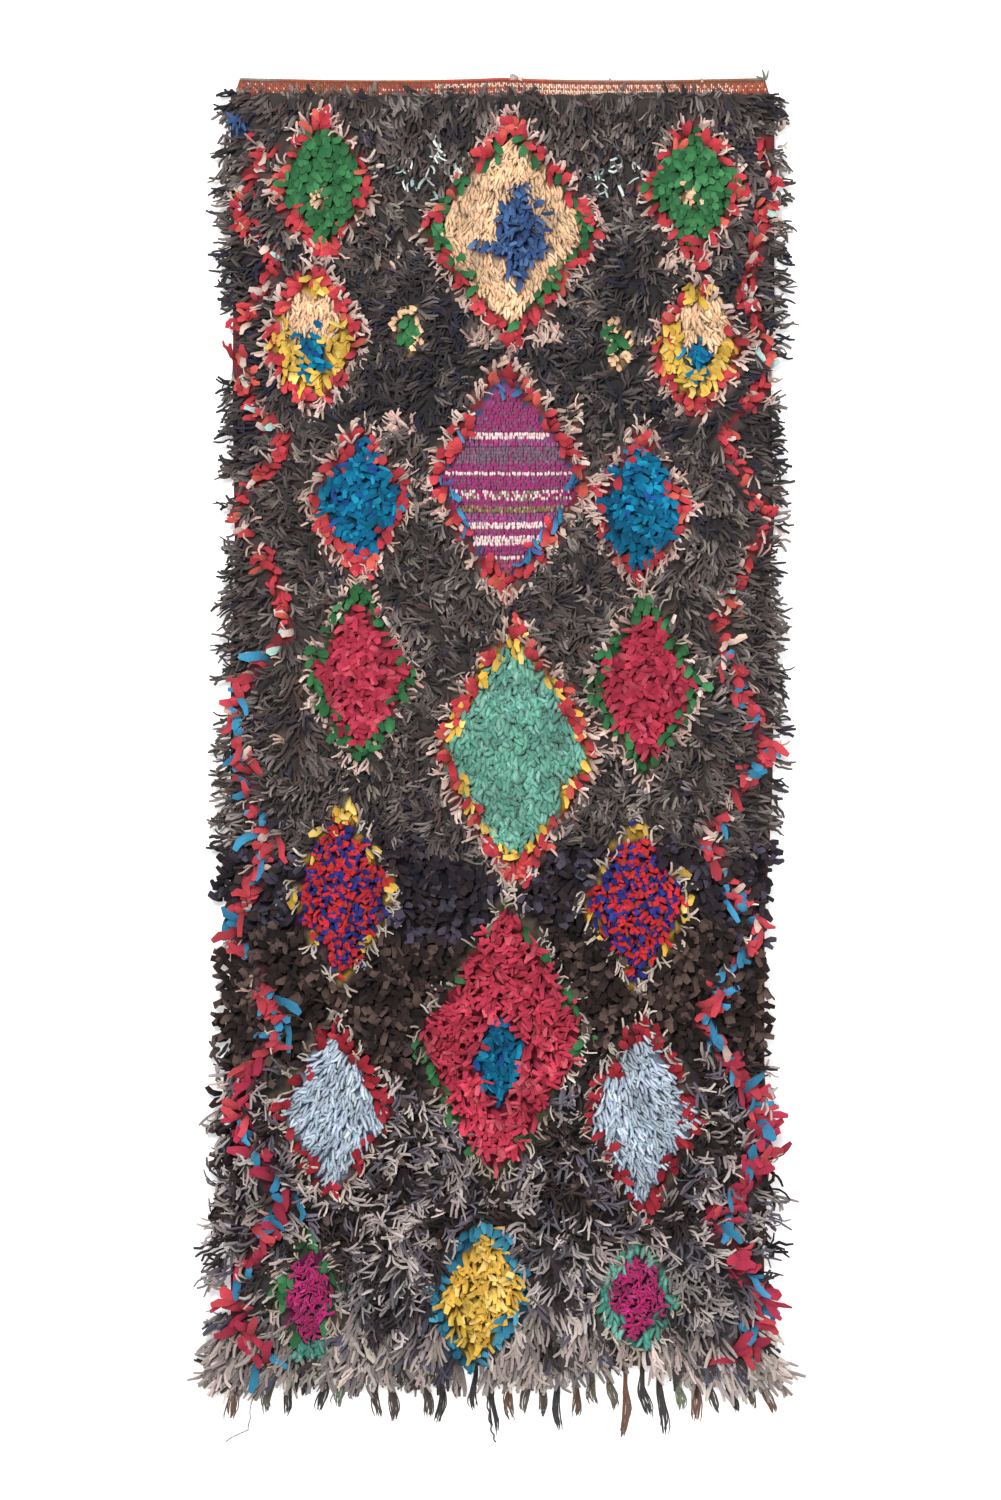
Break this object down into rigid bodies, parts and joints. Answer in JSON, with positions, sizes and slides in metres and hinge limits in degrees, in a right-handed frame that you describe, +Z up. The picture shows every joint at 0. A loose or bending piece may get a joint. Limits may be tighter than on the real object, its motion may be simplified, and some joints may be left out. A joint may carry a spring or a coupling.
{
  "type": "boucherouite rug",
  "caption": "Shaggy rag-pile rug that lies flat on a floor, with a hemmed woven heading at one end, loose locks along its sides and a fringe of warp tassels at the other end.",
  "frame": {"origin": "on the floor, at the middle of the rug's box", "axes": "+X across the rug to its right, +Y along it towards the hemmed heading, +Z up from the floor"},
  "size_m": [1.12, 2.6, 0.0442],
  "materials": {
    "woven_orange": "weft-faced woven heading in orange and undyed yarn",
    "charcoal_rag": "matt knotted rag strips, charcoal field with coloured lozenges",
    "warp_yarn": "matt grey-brown warp yarn, knotted in tassels"
  },
  "bodies": {
    "root": {"ground_cloth": "woven_orange", "pile": "charcoal_rag", "warp_fringe": "warp_yarn"}
  },
  "joints": []
}
